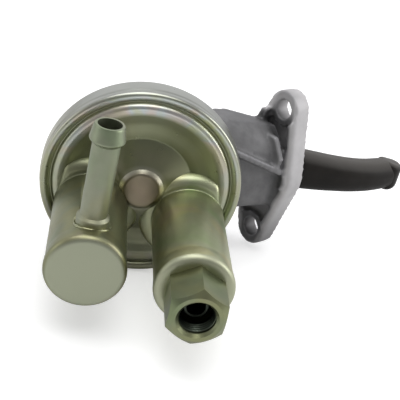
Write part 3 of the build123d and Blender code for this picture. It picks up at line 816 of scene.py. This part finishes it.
def collar_share(angle, u):
    """How much of its collar a canister has in a direction, less where the cover's ring is near."""
    out = Vector((cos(angle), sin(angle)))
    centre = Vector((u, CANISTER_V))
    along = centre.dot(out)
    reach = -along + (along * along + COLLAR_REACH_R**2 - centre.length_squared) ** 0.5
    share = min(1.0, max(0.0, (reach - NO_COLLAR_REACH) / (FULL_COLLAR_REACH - NO_COLLAR_REACH)))
    return share * share * (3 - 2 * share)


def collar_line():
    """The collar's outline as radius and w: a small step off the wall, then a quarter turn."""
    drop, step, before_bend, quarter_steps = 0.5, 0.2, 0.3, 12
    top = COLLAR_TOP_W - drop
    middle_r = COLLAR_R - COLLAR_BEND
    line = [(CANISTER_R, top + step), (CANISTER_R + step, top), (middle_r - before_bend, top)]
    for k in range(quarter_steps + 1):
        t = pi / 2 * k / quarter_steps
        line.append((middle_r + COLLAR_BEND * sin(t), top - COLLAR_BEND * (1 - cos(t))))
    line.append((COLLAR_R, FOOT_W))
    return [Vector(p) for p in line]


def cup_line(end_w, end_bore):
    """A cup's section as radius and w, from its end down the outside and back up the inside."""
    end_r = max(end_bore, LEAST_R)
    inner_r, inner_w = CANISTER_R - CANISTER_WALL, end_w - CANISTER_WALL
    slight_flare, slight_depth, flare_depth = 0.2, 6.0, 8.5
    outside = (
        (end_r, end_w),
        (CANISTER_R + END_FLARE, end_w),
        (CANISTER_R + slight_flare, end_w - slight_depth),
        (CANISTER_R, end_w - flare_depth),
        (CANISTER_R, COLLAR_TOP_W),
    )
    inside = ((inner_r, FOOT_W), (inner_r, inner_w), (end_r, inner_w))
    line = rounded_path(outside, (END_BEND, FLARE_BEND, FLARE_BEND))
    line += collar_line()
    line += rounded_path(inside, (INSIDE_BEND,))
    if not end_bore:
        line[1:1] = [Vector((r, end_w)) for r in NEAR_AXIS[::-1]]
        line[-1:-1] = [Vector((r, inner_w)) for r in NEAR_AXIS]
    return line


def add_canister(side, u, end_w, end_bore, holes):
    """A drawn cup again, with a fuller, rounded collar where it meets the cover."""
    line = cup_line(end_w, end_bore)
    rows = []
    for angle in full_turn(CUP_STEPS):
        share = collar_share(angle, u)
        row = []
        for r, w in line:
            if w < COLLAR_TOP_W and r > CANISTER_R:
                r = CANISTER_R + (r - CANISTER_R) * share
            row.append(round_axis(u, CANISTER_V, r, angle, w))
        rows.append(row)
    name = side + "_canister_skin"
    data = grid_mesh(name, rows)
    if holes:
        data = pierced(data, holes)
    add_piece(name, data, "yellow_zinc", canister_look, stands_for=side + "_canister")


def nipple_hole():
    """A bar for the nipple's hole, through one side of the inlet canister."""
    length = 16.0
    return round_cutter(stack(INLET_U, CANISTER_V + CANISTER_R, NIPPLE_W), V_DIR, NIPPLE_HOLE_R, length)


# Thread and braze
def add_port_thread():
    """The thread of the outlet port: a ridge that winds round its wall, faded out at both ends."""
    turns, steps, fade_rate = 5, 48, 1.5
    wall, depth, pitch, start_w = 7.22, 0.6, 1.2, 78.9
    # The ridge's profile, in shares of the pitch and of the depth
    ridge = ((-0.5, 0.0), (-0.12, 1.0), (0.12, 1.0), (0.5, 0.0))
    total = turns * steps
    rows = []
    for k in range(total + 1):
        angle = 2 * pi * k / steps
        fade = min(1.0, k / steps * fade_rate, (total - k) / steps * fade_rate)
        w = start_w + pitch * k / steps
        row = []
        for rise, share in ridge:
            r = wall - depth * share * fade
            row.append(round_axis(OUTLET_U, CANISTER_V, r, angle, w + rise * pitch))
        rows.append(row)
    data = grid_mesh("port_thread", rows, closed_rows=False, closed_columns=False)
    add_piece("port_thread", data, "yellow_zinc", own_looks["outlet_fitting"])


def add_braze():
    """The uneven braze bead round the nipple's foot, following the canister's curve."""
    steps, around = 72, 8
    foot_r, bead, sunk, flatness = 6.95, 0.62, 0.1, 0.75
    # How many waves go round, how high they are and how far they are turned
    waves = ((3, 0.16, 0.7), (7, 0.1, 2.1), (13, 0.07, 0.0))
    rows = []
    for angle in full_turn(steps):
        size = bead + sum(height * sin(count * angle + shift) for count, height, shift in waves)
        side = foot_r * cos(angle)
        wall_v = CANISTER_V + sqrt(CANISTER_R**2 - side**2) - sunk
        centre = stack(INLET_U + side, wall_v, NIPPLE_W + foot_r * sin(angle))
        out = (U_DIR * cos(angle) + W_DIR * sin(angle)).normalized()
        rows.append([
            centre + (V_DIR * sin(t) * flatness + out * cos(t)) * size * MM
            for t in full_turn(around)
        ])
    add_piece("nipple_braze", grid_mesh("nipple_braze", rows), "yellow_zinc")


add_casting()
add_lever()
add_cover()
add_canister("inlet", INLET_U, INLET_END_W, end_bore=0.0, holes=[nipple_hole()])
add_canister("outlet", OUTLET_U, OUTLET_END_W, end_bore=SPIGOT_HOLE_R, holes=[])
add_port_thread()
add_braze()


# Camera at the photograph's viewing angle
RIGHT = Vector((0.7511, -0.6250, 0.2126))
UP = Vector((0.1662, 0.4906, 0.8554))
CAMERA_PLACE = (-0.30674, -0.24609, 0.18209)
LENS = 79.93
back = RIGHT.cross(UP).normalized()
up = back.cross(RIGHT).normalized()
camera_data = bpy.data.cameras.new("camera")
camera_data.lens = LENS
camera_data.sensor_width = 36.0
camera_data.clip_start = 0.01
camera = new_object("camera", camera_data)
turn = Matrix((RIGHT.normalized(), up, back)).transposed()
camera.matrix_world = Matrix.Translation(CAMERA_PLACE) @ turn.to_4x4()
bpy.context.scene.camera = camera


# Floor: pale paper just below the part, which glows only to the camera
FLOOR_GAP = 0.0005
FLOOR_REACH = 4.0
FLOOR_COLOUR = (0.78, 0.78, 0.78)
FLOOR_GLOW = 0.42


def floor_paper():
    """Matt paper that keeps the part's shadow."""
    look = Look("floor_paper")
    look.set(
        Base_Color=FLOOR_COLOUR,
        Roughness=0.9,
        Emission_Color=WHITE,
        Emission_Strength=look.times(look.node("LightPath").outputs["Is Camera Ray"], FLOOR_GLOW),
    )
    return look.material


floor_mesh = bpy.data.meshes.new("floor")
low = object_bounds()[0][2] - FLOOR_GAP
square = ((-1, -1), (1, -1), (1, 1), (-1, 1))
corners = [(x * FLOOR_REACH, y * FLOOR_REACH, low) for x, y in square]
floor_mesh.from_pydata(corners, [], [(0, 1, 2, 3)])
floor_mesh.materials.append(floor_paper())
floor = new_object("floor", floor_mesh)


# World: a soft room, brighter behind the part than before the canisters' ends, and white to the camera
ROOM_LEVELS = ((0.0, 0.35), (0.47, 0.45), (0.55, 0.72), (0.70, 0.80), (0.86, 0.62), (1.0, 0.70))
ROOM_BLUE = 1.02
WALL_FROM = -0.9
WALL_LEVELS = (0.3, 1.35)


def add_world():
    """The light of the room, by height and by which wall a ray meets."""
    world = bpy.data.worlds.new("studio")
    bpy.context.scene.world = world
    world.use_nodes = True
    room = Tree(world.node_tree)
    direction = room.node("TexCoord").outputs["Generated"]
    height = room.span(room.node("SeparateXYZ", {"Vector": direction}).outputs["Z"], 0.0, 1.0, -1.0)
    levels = room.ramp(height, [(place, (level, level, level * ROOM_BLUE)) for place, level in ROOM_LEVELS])
    wall = room.span(room.vector("DOT_PRODUCT", direction, -W_DIR), *WALL_LEVELS, WALL_FROM)
    rays = room.node("LightPath").outputs
    seen = room.math("MAXIMUM", rays["Is Camera Ray"], rays["Is Transmission Ray"])
    colour = room.mix(seen, room.scaled(levels, wall), WHITE)
    room.feed(world.node_tree.nodes["Background"].inputs["Color"], colour)


add_world()


# Lamps: soft boxes that face the part's middle
MIDDLE = Vector((-0.05, 0.0, 0.0))
OVERHEAD = MIDDLE + V_DIR * 0.62 + back * 0.10 - RIGHT * 0.10
LEFT_SIDE = MIDDLE - RIGHT * 0.7 + back * 0.25 + up * 0.15
RIGHT_SIDE = MIDDLE + RIGHT * 0.65 + back * 0.12 + up * 0.1


def soft_box(name, place, width, height, watts):
    """A flat lamp, its sides in metres."""
    data = bpy.data.lights.new(name, "AREA")
    data.shape = "RECTANGLE"
    data.size = width
    data.size_y = height
    data.energy = watts
    lamp = new_object(name, data)
    lamp.location = place
    lamp.rotation_euler = (MIDDLE - place).to_track_quat("-Z", "Y").to_euler()


soft_box("overhead_light", OVERHEAD, width=0.75, height=0.5, watts=3.2)
soft_box("left_light", LEFT_SIDE, width=0.3, height=0.5, watts=0.6)
soft_box("right_light", RIGHT_SIDE, width=0.25, height=0.5, watts=1.6)

bpy.context.scene.view_settings.view_transform = "Standard"
